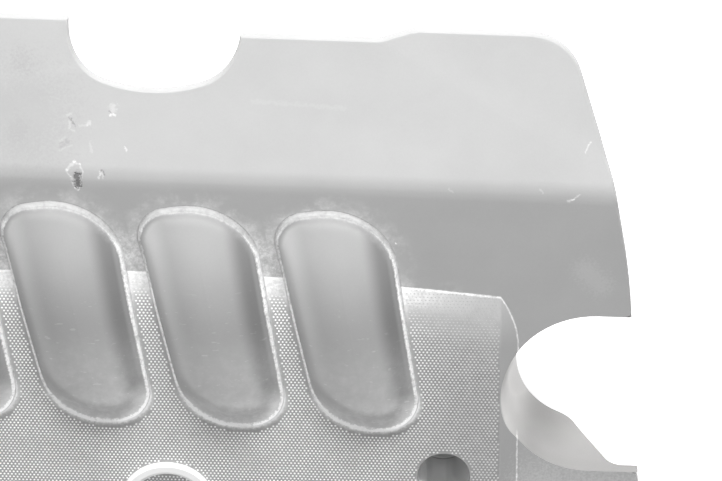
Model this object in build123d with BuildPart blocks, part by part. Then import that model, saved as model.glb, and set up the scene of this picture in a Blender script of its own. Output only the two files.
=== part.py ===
"""Moulded engine cover: a thin shell with a raised panel, domed humps, two cut-outs and its fixings.

Millimetres. X runs across the engine, +Y to the rear, +Z up. The origin is at the middle of the
footprint, on the mounting plane that the sleeves and bushes stand on.
"""
import os
from math import atan2, cos, radians, sin, sqrt, tan

from build123d import *

# Skin
wall = 2.5
rim_depth = 6.0
rim_edge_radius = 1.5

# Side profile, front to back
front_edge_y = -197.4
nose_foot_z = 24.0
nose_top_y = -169.4
nose_radius = 24.0
band_z = 62.0
crease_y = 115.0
crease_radius = 28.0
back_slope_deg = 27.0
back_edge_y = 197.4

# Plan outline
rear_corner_x = 233.7
rear_corner_radius = 34.0
side_mid_x = 265.6
side_mid_y = 115.0
side_front_x = 280.9
side_front_y = 35.0
front_corner_x = 302.8
front_corner_y = -176.0
front_corner_radius = 48.0
step_depth = 6.0
step_start_x = 122.6
step_length = 20.0
step_radius = 18.0

# Rear cut-out
rear_cut_x = -12.0
rear_cut_width = 102.5
rear_cut_bottom_y = 160.6
rear_cut_radius = 30.0
rear_cut_sweep = 105.0

# Right cut-out and its drafted wall
side_cut_x = 261.0
side_cut_y = -22.2
side_cut_radius = 56.0
side_cut_draft_deg = 12.0
side_cut_wall_z = 15.0
side_cut_rise_x = 250.0
side_cut_rise_length = 26.0
side_cut_rise_radius = 12.0
side_cut_mouth_radius = 5.0

# Raised panel, by its foot line on the band
panel_raise = 6.0
panel_flank = 11.0
panel_edge_radius = 5.0
panel_rear_mid_y = 54.3
panel_rear_corner_x = 212.0
panel_rear_corner_y = 44.0
panel_front_corner_x = 221.0
panel_front_y = -160.0
panel_foot_corner_radius = 30.0
panel_top_corner_radius = 6.0

# Humps, by the corners of their outline about their middle
hump_count = 4
hump_pitch = 82.4
hump_row_x = -13.4
hump_y = 28.1
hump_rear_left = (-51.1, 67.2)
hump_rear_right = (19.6, 78.9)
hump_front_right = (48.0, -76.6)
hump_front_left = (-16.5, -78.6)
hump_radii = (19.5, 44.0, 22.0, 42.0)
hump_rim_raise = 8.5
hump_rim_width = 1.5
hump_rim_radius = 1.0
hump_dome_rise = 12.5
hump_dome_shift = 0.8
hump_dome_edge_radius = 7.0
hump_crown_across_radius = 62.0
hump_crown_rear_radius = 240.0
hump_crown_front_radius = 500.0
hump_crown_peak_x = -5.0
hump_crown_peak_y = -8.0

# Badge ring
badge_y = -108.7
badge_outer_radius = 30.0
badge_band = 7.8
badge_height = 3.6
badge_step = 5.3
badge_step_depth = 0.9
badge_bevel = 1.4
badge_peg_radius = 2.0
badge_peg_length = 6.0
badge_peg_clearance = 0.2

# Front fixings
fixing_x = 171.6
fixing_y = -81.7
well_radius = 16.5
well_floor_z = 23.0
well_floor_thickness = 3.0
grommet_neck_radius = 10.0
grommet_lip_radius = 13.0
grommet_lip_height = 3.5
fit_clearance = 0.15
sleeve_outer_radius = 6.0
sleeve_inner_radius = 3.3
sleeve_head_radius = 9.0
sleeve_head_height = 1.5

# Rear fixings
post_x = 150.0
post_y = 150.0
post_radius = 15.0
post_bottom_z = 3.0
bush_radius = 11.5
bush_depth = 15.0
bush_bore_radius = 5.0
bush_bore_depth = 14.0
bush_lip_radius = 14.0
rib_length = 16.0
rib_bottom_z = 24.0
rib_thickness = 2.0

# Sizes worked out from those above
panel_z = band_z + panel_raise
flank_slope = panel_flank / panel_raise
flank_skin = wall * sqrt(1 + 1 / flank_slope**2)
hump_rim_z = band_z + hump_rim_raise
hump_dome_z = hump_rim_z + hump_dome_rise
hump_corners = (hump_rear_left, hump_rear_right, hump_front_right, hump_front_left)
hump_axis_x = hump_front_right[0] + hump_front_left[0] - hump_rear_left[0] - hump_rear_right[0]
hump_axis_y = hump_rear_left[1] + hump_rear_right[1] - hump_front_right[1] - hump_front_left[1]
hump_lean = atan2(hump_axis_x, hump_axis_y)
hump_places = [(hump_row_x + (i - (hump_count - 1) / 2) * hump_pitch, hump_y) for i in range(hump_count)]
deep_z = -2 * band_z
width = 2 * front_corner_x
nose_slope = (band_z - nose_foot_z) / (nose_top_y - front_edge_y)
back_slope = tan(radians(back_slope_deg))
sleeve_top_z = well_floor_z + grommet_lip_height
front_fixings = {"left": -fixing_x, "right": fixing_x}
rear_fixings = {"left": -post_x, "right": post_x}
badge_inner_radius = badge_outer_radius - badge_band
badge_step_radius = badge_outer_radius - badge_step
badge_peg_x = badge_outer_radius - badge_band / 2
badge_pegs = [(-badge_peg_x, badge_y), (badge_peg_x, badge_y)]

os.makedirs("parts", exist_ok=True)


def side_profile(inset, drop):
    """The cover's side view as a solid face, drawn in by inset and lowered by drop."""
    front = front_edge_y - rim_depth
    back = back_edge_y + rim_depth
    with BuildSketch(Plane.YZ.offset(-width)) as sketch:
        with BuildLine():
            FilletPolyline(
                (front, deep_z),
                (front, nose_foot_z - nose_slope * rim_depth - drop),
                (nose_top_y, band_z - drop),
                (crease_y, band_z - drop),
                (back, band_z - back_slope * (back - crease_y) - drop),
                (back, deep_z),
                radius=(0, 0, nose_radius, crease_radius, 0, 0),
                close=True,
            )
        make_face()
        if inset:
            offset(amount=-inset)
    return sketch.sketch


def rear_cut():
    """The rear cut-out's outline: a shallow arc with rounded corners, open to the rear."""
    left = rear_cut_x - rear_cut_width / 2
    right = rear_cut_x + rear_cut_width / 2
    corner_y = rear_cut_bottom_y + rear_cut_sweep - sqrt(rear_cut_sweep**2 - rear_cut_width**2 / 4)
    open_y = back_edge_y + rear_cut_radius
    with BuildSketch(Plane.XY.offset(deep_z)) as sketch:
        with BuildLine():
            ThreePointArc((left, corner_y), (rear_cut_x, rear_cut_bottom_y), (right, corner_y))
            Polyline((right, corner_y), (right, open_y), (left, open_y), (left, corner_y))
        make_face()
        fillet(sketch.vertices().sort_by(Axis.Y)[:2], rear_cut_radius)
    return sketch.sketch


def plan_outline(inset):
    """The cover's outline from above, drawn in by inset, with the rear cut-out and the stepped rear edge."""
    recessed_y = back_edge_y - step_depth
    step_end_x = step_start_x + step_length
    with BuildSketch(Plane.XY.offset(deep_z)) as sketch:
        with BuildLine():
            ThreePointArc((rear_corner_x, back_edge_y), (side_mid_x, side_mid_y), (side_front_x, side_front_y))
            Line((side_front_x, side_front_y), (front_corner_x, front_corner_y))
            ThreePointArc((front_corner_x, front_corner_y), (0, front_edge_y), (-front_corner_x, front_corner_y))
            Line((-front_corner_x, front_corner_y), (-side_front_x, side_front_y))
            ThreePointArc((-side_front_x, side_front_y), (-side_mid_x, side_mid_y), (-rear_corner_x, back_edge_y))
            Polyline(
                (-rear_corner_x, back_edge_y),
                (rear_cut_x, back_edge_y),
                (rear_cut_x, recessed_y),
                (step_start_x, recessed_y),
                (step_end_x, back_edge_y),
                (rear_corner_x, back_edge_y),
            )
        make_face()
        rounded = {rear_corner_x: rear_corner_radius, front_corner_x: front_corner_radius}
        for corner_x, radius in rounded.items():
            fillet(sketch.vertices().filter_by(lambda v: abs(abs(v.X) - corner_x) < wall), radius)
        for corner_x in (step_start_x, step_end_x):
            fillet(sketch.vertices().filter_by(lambda v: abs(v.X - corner_x) < wall), step_radius)
        add(rear_cut(), mode=Mode.SUBTRACT)
        if inset:
            offset(amount=-inset)
    return sketch.sketch


def panel_outline(growth, height, corner_radius):
    """The raised panel's foot line, let out by growth to round corners, on a plane at height."""
    rear_right = (panel_rear_corner_x, panel_rear_corner_y)
    rear_left = (-panel_rear_corner_x, panel_rear_corner_y)
    with BuildSketch(Plane.XY.offset(height)) as sketch:
        with BuildLine():
            ThreePointArc(rear_left, (0, panel_rear_mid_y), rear_right)
            Polyline(
                rear_right,
                (panel_front_corner_x, panel_front_y),
                (-panel_front_corner_x, panel_front_y),
                rear_left,
            )
        make_face()
        fillet(sketch.vertices(), corner_radius - growth)
        offset(amount=growth)
    return sketch.sketch


def hump_outline(place, inset, height):
    """The slanted outline of the hump at place, drawn in by inset, on a plane at height."""
    corners = [(place[0] + x, place[1] + y) for x, y in hump_corners]
    with BuildSketch(Plane.XY.offset(height)) as sketch:
        with BuildLine():
            FilletPolyline(*corners, radius=hump_radii, close=True)
        make_face()
        if inset:
            offset(amount=-inset)
    return sketch.sketch


def hump_crown(place, drop):
    """The block under the crown of the hump at place, lowered by drop: one section swung both ways."""
    across = Vector(cos(hump_lean), sin(hump_lean), 0)
    along = Vector(-sin(hump_lean), cos(hump_lean), 0)
    peak = Vector(*place, hump_dome_z - drop) + across * hump_crown_peak_x + along * hump_crown_peak_y
    radius = hump_crown_across_radius - drop
    half = hump_pitch / 2 + hump_rim_raise
    sag = radius - sqrt(radius**2 - half**2)
    with BuildPart() as block:
        for swing, turn in ((hump_crown_rear_radius, -across), (hump_crown_front_radius, across)):
            with BuildSketch(Plane(origin=peak, x_dir=across, z_dir=-along)):
                with BuildLine():
                    ThreePointArc((-half, -sag), (0, 0), (half, -sag))
                    Polyline((half, -sag), (half, -band_z), (-half, -band_z), (-half, -sag))
                make_face()
            hub = peak - Vector(0, 0, swing - drop)
            revolve(axis=Axis(hub, turn), revolution_arc=45)
    return block.part


# Outer form, as if the cover were solid
with BuildPart() as body:
    extrude(side_profile(0, 0), amount=2 * width)
    extrude(plan_outline(0), amount=3 * band_z, mode=Mode.INTERSECT)
    upright = body.faces().filter_by(lambda f: abs(f.normal_at().Z) < 0.01)
    rim = upright.edges().filter_by(lambda e: abs(e.tangent_at(0.5).Z) < 0.8 and e.center().Z > 0)
    fillet(rim, rim_edge_radius)

with BuildPart() as panel:
    loft(
        [
            panel_outline(flank_slope * wall, band_z - wall, panel_foot_corner_radius),
            panel_outline(-panel_flank, panel_z, panel_top_corner_radius),
        ],
        ruled=True,
    )
    fillet(panel.faces().sort_by(Axis.Z)[-1].edges(), panel_edge_radius)


def hump_solids(place):
    """The rimmed plinth and the rolled dome of the hump at place."""
    dome_place = (place[0] + hump_dome_shift, place[1])
    with BuildPart() as plinth:
        extrude(hump_outline(place, 0, band_z - wall), amount=hump_rim_raise + wall)
        fillet(plinth.faces().sort_by(Axis.Z)[-1].edges(), hump_rim_radius)
    with BuildPart() as dome:
        extrude(hump_outline(dome_place, hump_rim_width, band_z - wall), amount=band_z)
        add(hump_crown(dome_place, 0), mode=Mode.INTERSECT)
        upright = dome.faces().filter_by(lambda f: abs(f.normal_at().Z) < 0.01)
        crown = upright.edges().filter_by(lambda e: abs(e.tangent_at(0.5).Z) < 0.8 and e.center().Z > band_z)
        fillet(crown, hump_dome_edge_radius)
    return [plinth.part, dome.part]


def hump_hollows(place):
    """The pockets under the plinth and the dome of the hump at place."""
    dome_place = (place[0] + hump_dome_shift, place[1])
    dome_inset = hump_rim_width + hump_dome_edge_radius / 2 + wall / 4
    with BuildPart() as pocket:
        extrude(hump_outline(dome_place, dome_inset, deep_z), amount=hump_dome_z - deep_z)
        add(hump_crown(dome_place, wall), mode=Mode.INTERSECT)
        extrude(hump_outline(place, wall, deep_z), amount=hump_rim_z - wall - deep_z)
    return pocket.part


with BuildPart() as form:
    add(body.part)
    add(panel.part)
    for place in hump_places:
        add(hump_solids(place))

# Space under the skin
with BuildPart() as hollow:
    extrude(side_profile(wall, 0), amount=2 * width)
    extrude(plan_outline(wall), amount=3 * band_z, mode=Mode.INTERSECT)
    loft(
        [
            panel_outline(flank_slope * (2 * wall - flank_skin), band_z - 2 * wall, panel_foot_corner_radius),
            panel_outline(flank_slope * (wall - flank_skin) - panel_flank, panel_z - wall, panel_top_corner_radius),
        ],
        ruled=True,
    )
    for place in hump_places:
        add(hump_hollows(place))

with BuildPart() as below_rim:
    extrude(side_profile(0, rim_depth), amount=2 * width)


def side_cut(growth):
    """The tapering space of the right cut-out, let out by growth and open to the right."""
    radius = side_cut_radius + growth + (hump_dome_z - band_z) * tan(radians(side_cut_draft_deg))
    with BuildPart() as space:
        with BuildSketch(Plane.XY.offset(hump_dome_z)):
            with Locations((side_cut_x - radius, side_cut_y)):
                SlotOverall(width, 2 * radius, align=(Align.MIN, Align.CENTER))
        extrude(amount=-hump_dome_z, taper=side_cut_draft_deg)
    return space.part


def side_cut_mouth():
    """What rounds off the two corners where the right cut-out meets the cover's side."""
    side_lean = (front_corner_x - side_front_x) / (side_front_y - front_corner_y)
    with BuildPart() as space:
        with BuildSketch(Plane.XY):
            for side in (-1, 1):
                y = side_cut_y + side * side_cut_radius
                x = side_front_x + (side_front_y - y) * side_lean
                with Locations((x, y + side * side_cut_mouth_radius / 2)):
                    Rectangle(2 * side_cut_mouth_radius, side_cut_mouth_radius)
                with Locations((x - side_cut_mouth_radius, y + side * side_cut_mouth_radius)):
                    Circle(side_cut_mouth_radius, mode=Mode.SUBTRACT)
        extrude(amount=hump_dome_z)
    return space.part


# Wall round the right cut-out: deep at its inner end, then rising to the rim
with BuildPart() as cut_wall:
    add(side_cut(wall))
    with BuildSketch(Plane.XZ.offset(-width)):
        with BuildLine():
            FilletPolyline(
                (0, side_cut_wall_z),
                (side_cut_rise_x, side_cut_wall_z),
                (side_cut_rise_x + side_cut_rise_length, band_z - rim_depth),
                (width, band_z - rim_depth),
                (width, 2 * band_z),
                (0, 2 * band_z),
                radius=(0, side_cut_rise_radius, side_cut_rise_radius, 0, 0, 0),
                close=True,
            )
        make_face()
    extrude(amount=2 * width, mode=Mode.INTERSECT)

# What hangs under the skin: the cut-out's wall, the fixing wells, the rear posts and their ribs
with BuildPart() as inner_walls:
    add(cut_wall.part)
    for x in front_fixings.values():
        with BuildSketch(Plane.XY.offset(well_floor_z - well_floor_thickness)):
            with Locations((x, fixing_y)):
                Circle(well_radius + wall)
        extrude(amount=band_z)
    for x in rear_fixings.values():
        with BuildSketch(Plane.XY.offset(post_bottom_z)):
            with Locations((x, post_y)):
                Circle(post_radius)
        extrude(amount=band_z)
        with BuildSketch(Plane.XY.offset(rib_bottom_z)):
            with Locations((x, post_y)):
                Rectangle(2 * (post_radius + rib_length), rib_thickness)
                Rectangle(rib_thickness, 2 * (post_radius + rib_length))
        extrude(amount=band_z)
    add(form.part, mode=Mode.INTERSECT)

with BuildPart() as cover:
    add(form.part)
    add(hollow.part, mode=Mode.SUBTRACT)
    add(below_rim.part, mode=Mode.SUBTRACT)
    add(inner_walls.part)
    add(side_cut(0), mode=Mode.SUBTRACT)
    add(side_cut_mouth(), mode=Mode.SUBTRACT)
    with BuildSketch(Plane.XY.offset(well_floor_z)):
        with Locations(*[(x, fixing_y) for x in front_fixings.values()]):
            Circle(well_radius)
    extrude(amount=band_z, mode=Mode.SUBTRACT)
    with BuildSketch(Plane.XY.offset(well_floor_z - well_floor_thickness)):
        with Locations(*[(x, fixing_y) for x in front_fixings.values()]):
            Circle(grommet_neck_radius)
    extrude(amount=well_floor_thickness, mode=Mode.SUBTRACT)
    with BuildSketch(Plane.XY.offset(post_bottom_z)):
        with Locations(*[(x, post_y) for x in rear_fixings.values()]):
            Circle(bush_radius)
    extrude(amount=bush_depth, mode=Mode.SUBTRACT)
    with BuildSketch(Plane.XY.offset(panel_z)):
        with Locations(*badge_pegs):
            Circle(badge_peg_radius + badge_peg_clearance)
    extrude(amount=-2 * wall, mode=Mode.SUBTRACT)
cover.part.label = "cover_moulding"
export_step(cover.part, "parts/cover_moulding.step")

with BuildPart() as badge:
    with BuildSketch(Plane.XZ.offset(-badge_y)):
        with BuildLine():
            Polyline(
                (badge_inner_radius, panel_z),
                (badge_outer_radius, panel_z),
                (badge_outer_radius, panel_z + badge_height - badge_bevel),
                (badge_outer_radius - badge_bevel, panel_z + badge_height),
                (badge_step_radius, panel_z + badge_height),
                (badge_step_radius, panel_z + badge_height - badge_step_depth),
                (badge_inner_radius, panel_z + badge_bevel),
                close=True,
            )
        make_face()
    revolve(axis=Axis((0, badge_y, 0), (0, 0, 1)))
    with BuildSketch(Plane.XY.offset(panel_z)):
        with Locations(*badge_pegs):
            Circle(badge_peg_radius)
    extrude(amount=-badge_peg_length)
badge.part.label = "badge_ring"
export_step(badge.part, "parts/badge_ring.step")


def turned(place, profile):
    """A piece turned about an upright axis at place from a profile of (radius, height) points."""
    with BuildPart() as piece:
        with BuildSketch(Plane(origin=(place[0], place[1], 0), x_dir=(1, 0, 0), z_dir=(0, -1, 0))):
            with BuildLine():
                Polyline(*profile, close=True)
            make_face()
        revolve(axis=Axis((place[0], place[1], 0), (0, 0, 1)))
    return piece.part


def grommet(place):
    """The rubber grommet that grips the floor of the well at place between two lips."""
    bore = sleeve_outer_radius + fit_clearance
    neck = grommet_neck_radius - fit_clearance
    floor_bottom = well_floor_z - well_floor_thickness
    return turned(place, [
        (bore, floor_bottom - grommet_lip_height),
        (grommet_lip_radius, floor_bottom - grommet_lip_height),
        (grommet_lip_radius, floor_bottom),
        (neck, floor_bottom),
        (neck, well_floor_z),
        (grommet_lip_radius, well_floor_z),
        (grommet_lip_radius, sleeve_top_z),
        (bore, sleeve_top_z),
    ])


def sleeve(place):
    """The steel spacer sleeve at place, standing on the mounting plane with its head on the grommet."""
    return turned(place, [
        (sleeve_inner_radius, 0),
        (sleeve_outer_radius, 0),
        (sleeve_outer_radius, sleeve_top_z),
        (sleeve_head_radius, sleeve_top_z),
        (sleeve_head_radius, sleeve_top_z + sleeve_head_height),
        (sleeve_inner_radius, sleeve_top_z + sleeve_head_height),
    ])


def rear_bush(place):
    """The rubber bush in the rear post at place, with a blind bore for a ball stud and a lip it rests on."""
    outer = bush_radius - fit_clearance
    top = post_bottom_z + bush_depth - fit_clearance
    return turned(place, [
        (bush_bore_radius, 0),
        (bush_lip_radius, 0),
        (bush_lip_radius, post_bottom_z),
        (outer, post_bottom_z),
        (outer, top),
        (0, top),
        (0, bush_bore_depth),
        (bush_bore_radius, bush_bore_depth),
    ])


for side, x in front_fixings.items():
    for name, make in {"grommet": grommet, "sleeve": sleeve}.items():
        piece = make((x, fixing_y))
        piece.label = f"{side}_{name}"
        export_step(piece, f"parts/{piece.label}.step")
for side, x in rear_fixings.items():
    piece = rear_bush((x, post_y))
    piece.label = f"{side}_rear_bush"
    export_step(piece, f"parts/{piece.label}.step")
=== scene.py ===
"""Looks of a moulded engine cover: dusty grey plastic, dotted panel, bright badge ring and fixings."""
import logging
import math
from collections.abc import Callable, Iterator
from contextlib import contextmanager
from dataclasses import dataclass
from enum import Enum
from typing import Union

import bpy
import numpy as np
from mathutils import Matrix, Vector


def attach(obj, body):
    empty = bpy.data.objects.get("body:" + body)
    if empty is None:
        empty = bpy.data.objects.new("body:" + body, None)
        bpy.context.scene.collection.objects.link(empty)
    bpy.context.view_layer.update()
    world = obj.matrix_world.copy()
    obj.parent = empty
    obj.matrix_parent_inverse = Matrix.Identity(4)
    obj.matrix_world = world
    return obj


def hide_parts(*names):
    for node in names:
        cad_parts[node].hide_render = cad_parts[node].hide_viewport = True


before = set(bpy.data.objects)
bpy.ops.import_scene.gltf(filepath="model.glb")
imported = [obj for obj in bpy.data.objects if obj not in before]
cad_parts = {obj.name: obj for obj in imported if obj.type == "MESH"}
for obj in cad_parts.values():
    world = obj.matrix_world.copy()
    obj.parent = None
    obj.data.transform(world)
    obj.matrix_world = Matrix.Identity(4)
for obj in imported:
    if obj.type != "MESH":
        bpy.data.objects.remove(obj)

LOG = logging.getLogger("engine_cover")
MM = 0.001
MERGE = 1e-6
IMAGE_WIDTH = 722
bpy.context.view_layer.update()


class Slot(str, Enum):
    """Material slots of the record."""

    COVER = "cover_plastic"
    BADGE = "badge_chrome"
    RUBBER = "bush_rubber"
    STEEL = "fixing_steel"


Piece = bpy.types.Object
Value = Union["Sock", float, int]
Array = np.ndarray
Field = Union["Sock", Array]


def operator(operation: str, swapped: bool = False) -> Callable[["Sock", Value], "Sock"]:
    """Returns a method that adds a maths node for an arithmetic operator.

    Args:
        operation: The node's operation.
        swapped: Whether the other value comes first.
    """
    def method(sock: "Sock", other: Value) -> "Sock":
        """Returns the result.

        Args:
            sock: The value that the method belongs to.
            other: The other value.
        """
        return sock.graph.maths(operation, *((other, sock) if swapped else (sock, other)))
    return method


class Sock:
    """A shader value; ordinary arithmetic on it adds the nodes."""

    __add__, __radd__ = operator("ADD"), operator("ADD", True)
    __sub__, __rsub__ = operator("SUBTRACT"), operator("SUBTRACT", True)
    __mul__, __rmul__ = operator("MULTIPLY"), operator("MULTIPLY", True)
    __truediv__, __rtruediv__ = operator("DIVIDE"), operator("DIVIDE", True)

    def __init__(self, graph: "Graph", socket: bpy.types.NodeSocket) -> None:
        """Wraps a socket.

        Args:
            graph: The node graph that the socket belongs to.
            socket: The output socket.
        """
        self.graph = graph
        self.socket = socket

    def __neg__(self) -> "Sock":
        """Returns the value with its sign turned."""
        return self.graph.maths("MULTIPLY", self, -1.0)

    def __abs__(self) -> "Sock":
        """Returns the value without its sign."""
        return self.graph.maths("ABSOLUTE", self)


class Graph:
    """One material's node tree, with places in mm and helpers for masks."""

    def __init__(self, name: str) -> None:
        """Starts an empty material.

        Args:
            name: The material's name.
        """
        self.material = bpy.data.materials.new(name)
        self.material.use_nodes = True
        self.tree = self.material.node_tree
        self.shader = self.tree.nodes["Principled BSDF"]
        self._place: Union[Sock, None] = None

    def add(self, kind: str, inputs: dict, output: Union[str, int] = 0, **settings: object) -> Sock:
        """Adds any node.

        Args:
            kind: The node's type name.
            inputs: Values or sockets by input name or number.
            output: The output to return.
            **settings: Properties of the node.

        Returns:
            The chosen output.
        """
        node = self.tree.nodes.new(kind)
        for key, value in settings.items():
            setattr(node, key, value)
        for key, value in inputs.items():
            if isinstance(value, Sock):
                self.tree.links.new(value.socket, node.inputs[key])
            else:
                node.inputs[key].default_value = value
        return Sock(self, node.outputs[output])

    def maths(self, operation: str, *values: Value) -> Sock:
        """Adds a maths node.

        Args:
            operation: The node's operation.
            *values: Its inputs in order.

        Returns:
            The result.
        """
        return self.add("ShaderNodeMath", dict(enumerate(values)), operation=operation)

    def place(self) -> Sock:
        """Returns the object coordinates as a vector in mm."""
        if self._place is None:
            coords = self.add("ShaderNodeTexCoord", {}, "Object")
            scaled = self.add("ShaderNodeVectorMath", {0: coords}, operation="SCALE")
            scaled.socket.node.inputs["Scale"].default_value = 1 / MM
            self._place = scaled
        return self._place

    def parts(self, vector: Sock) -> tuple[Sock, Sock, Sock]:
        """Returns the three parts of a vector.

        Args:
            vector: The vector.
        """
        split = self.add("ShaderNodeSeparateXYZ", {0: vector}).socket.node
        return tuple(Sock(self, split.outputs[i]) for i in range(3))

    def xyz(self) -> tuple[Sock, Sock, Sock]:
        """Returns the three object coordinates in mm."""
        return self.parts(self.place())

    def normal(self) -> tuple[Sock, Sock, Sock]:
        """Returns the surface normal's three parts."""
        return self.parts(self.add("ShaderNodeNewGeometry", {}, "Normal"))

    def ramp(self, value: Value, low: float, high: float) -> Sock:
        """Returns a smooth step from 0 at low to 1 at high.

        Args:
            value: What is stepped.
            low: Where the step is 0.
            high: Where the step is 1; it may be below low.
        """
        inputs = {"Value": value, "From Min": low, "From Max": high}
        return self.add("ShaderNodeMapRange", inputs, interpolation_type="SMOOTHSTEP", clamp=True)

    def noise(self, size: float, detail: float = 3.0, roughness: float = 0.55,
              stretch: tuple[float, float, float] = (1.0, 1.0, 1.0), shift: float = 0.0) -> Sock:
        """Returns noise of about 0.2 to 0.8.

        Args:
            size: The size of its blotches in mm.
            detail: The number of finer layers.
            roughness: How strong the finer layers are.
            stretch: Factors on the three coordinates.
            shift: An offset that makes noises differ.
        """
        moved = self.add("ShaderNodeVectorMath", {0: self.place(), 1: stretch, 2: (shift, shift, shift)},
                         operation="MULTIPLY_ADD")
        inputs = {"Vector": moved, "Scale": 1 / size, "Detail": detail, "Roughness": roughness}
        return self.add("ShaderNodeTexNoise", inputs, "Fac")

    def clamp(self, value: Value) -> Sock:
        """Returns value held between 0 and 1.

        Args:
            value: What is held.
        """
        return self.add("ShaderNodeClamp", {"Value": value})

    def grey(self, value: Value, warmth: Value = 0.0) -> Sock:
        """Returns a nearly neutral colour.

        Args:
            value: Its brightness.
            warmth: How much red goes up and blue goes down.
        """
        tint = 1 + (warmth if isinstance(warmth, Sock) else self.maths("ADD", warmth, 0.0))
        inputs = {"Red": tint * value, "Green": value, "Blue": value * (2 - tint)}
        return self.add("ShaderNodeCombineColor", inputs)

    def feed(self, name: str, value: Union[Value, tuple]) -> None:
        """Connects or sets an input of the material's shader.

        Args:
            name: The input's name.
            value: A socket or a constant.
        """
        if isinstance(value, Sock):
            self.tree.links.new(value.socket, self.shader.inputs[name])
        else:
            self.shader.inputs[name].default_value = value

    def bump(self, height: Value, strength: float, distance: float) -> None:
        """Feeds the shader's normal with a bump.

        Args:
            height: The height in mm.
            strength: The bump's strength.
            distance: The length of one unit of height, in mm.
        """
        inputs = {"Height": height, "Strength": strength, "Distance": distance * MM}
        self.feed("Normal", self.add("ShaderNodeBump", inputs))


def larger(a: Field, b: Field) -> Field:
    """Returns the larger of two values, of shader values or arrays.

    Args:
        a: The first value.
        b: The second value.
    """
    return a.graph.maths("MAXIMUM", a, b) if isinstance(a, Sock) else np.maximum(a, b)


def root(a: Field) -> Field:
    """Returns the square root, of shader values or arrays.

    Args:
        a: The value.
    """
    return a.graph.maths("SQRT", a) if isinstance(a, Sock) else np.sqrt(a)


def above(a: Field, limit: float) -> Field:
    """Returns 1 where a is above limit, else 0, of shader values or arrays.

    Args:
        a: The value.
        limit: The limit.
    """
    return a.graph.maths("GREATER_THAN", a, limit) if isinstance(a, Sock) else (a > limit).astype(float)


def nearest(a: Field, low: float, high: float) -> Field:
    """Returns the nearest whole number between low and high, of shader values or arrays.

    Args:
        a: The value.
        low: The smallest answer.
        high: The largest answer.
    """
    if isinstance(a, Sock):
        whole = a.graph.maths("ROUND", a)
        return a.graph.maths("MINIMUM", a.graph.maths("MAXIMUM", whole, low), high)
    return np.clip(np.round(a), low, high)


def left_of(way: Vector) -> Vector:
    """Returns a way turned by a quarter to the left.

    Args:
        way: A way seen from above.
    """
    return Vector((-way.y, way.x))


@dataclass(frozen=True)
class RoundedQuad:
    """A four-cornered outline with rounded corners, listed clockwise from the rear left."""

    corners: tuple[tuple[float, float], ...]
    radii: tuple[float, ...]
    arc_points: int = 48

    def arcs(self) -> list[tuple[Vector, Vector, Vector, Vector]]:
        """Returns each corner, the ways of the sides before and after it, and the centre of its arc."""
        points = [Vector(c) for c in self.corners]
        along = [(points[(i + 1) % 4] - p).normalized() for i, p in enumerate(points)]
        found = []
        for i, radius in enumerate(self.radii):
            before, after = along[i - 1], along[i]
            half = math.tan(before.angle(after) / 2)
            centre = points[i] - before * radius * half - left_of(before) * radius
            found.append((points[i], before, after, centre))
        return found

    def distance(self, x: Field, y: Field) -> Field:
        """Returns the distance from the outline, below 0 inside.

        Args:
            x: Along X, in mm.
            y: Along Y, in mm.
        """
        arcs = self.arcs()
        sides = [(x - p.x) * left_of(way).x + (y - p.y) * left_of(way).y for p, _, way, _ in arcs]
        result = larger(larger(sides[0], sides[1]), larger(sides[2], sides[3]))
        for (_, before, after, centre), radius in zip(arcs, self.radii):
            dx, dy = x - centre.x, y - centre.y
            in_corner = above(dx * before.x + dy * before.y, 0.0) * above(-(dx * after.x + dy * after.y), 0.0)
            result = result + in_corner * (root(dx * dx + dy * dy) - radius - result)
        return result

    def trace(self, count: int) -> tuple[Array, Array]:
        """Returns points spaced evenly along the outline, the first one again at the end, and the ways out there.

        Args:
            count: The number of stretches between the points.
        """
        places, ways = [], []
        for (_, before, after, centre), radius in zip(self.arcs(), self.radii):
            out = left_of(before)
            for angle in math.atan2(out.y, out.x) - np.linspace(0, before.angle(after), self.arc_points):
                way = np.array((math.cos(angle), math.sin(angle)))
                places.append(np.array(centre) + radius * way)
                ways.append(way)
        places, ways = np.array(places + places[:1]), np.array(ways + ways[:1])
        run = np.concatenate([[0.0], np.cumsum(np.linalg.norm(np.diff(places, axis=0), axis=1))])
        wanted = np.linspace(0, run[-1], count + 1)
        even = np.stack([np.interp(wanted, run, places[:, i]) for i in range(2)], 1)
        out = np.stack([np.interp(wanted, run, ways[:, i]) for i in range(2)], 1)
        return even, out / np.linalg.norm(out, axis=1)[:, None]


def eased(value: Array, low: float, high: float) -> Array:
    """Returns a smooth step from 0 at low to 1 at high.

    Args:
        value: What is stepped.
        low: Where the step is 0.
        high: Where the step is 1.
    """
    share = np.clip((value - low) / (high - low), 0, 1)
    return share * share * (3 - 2 * share)


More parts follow.
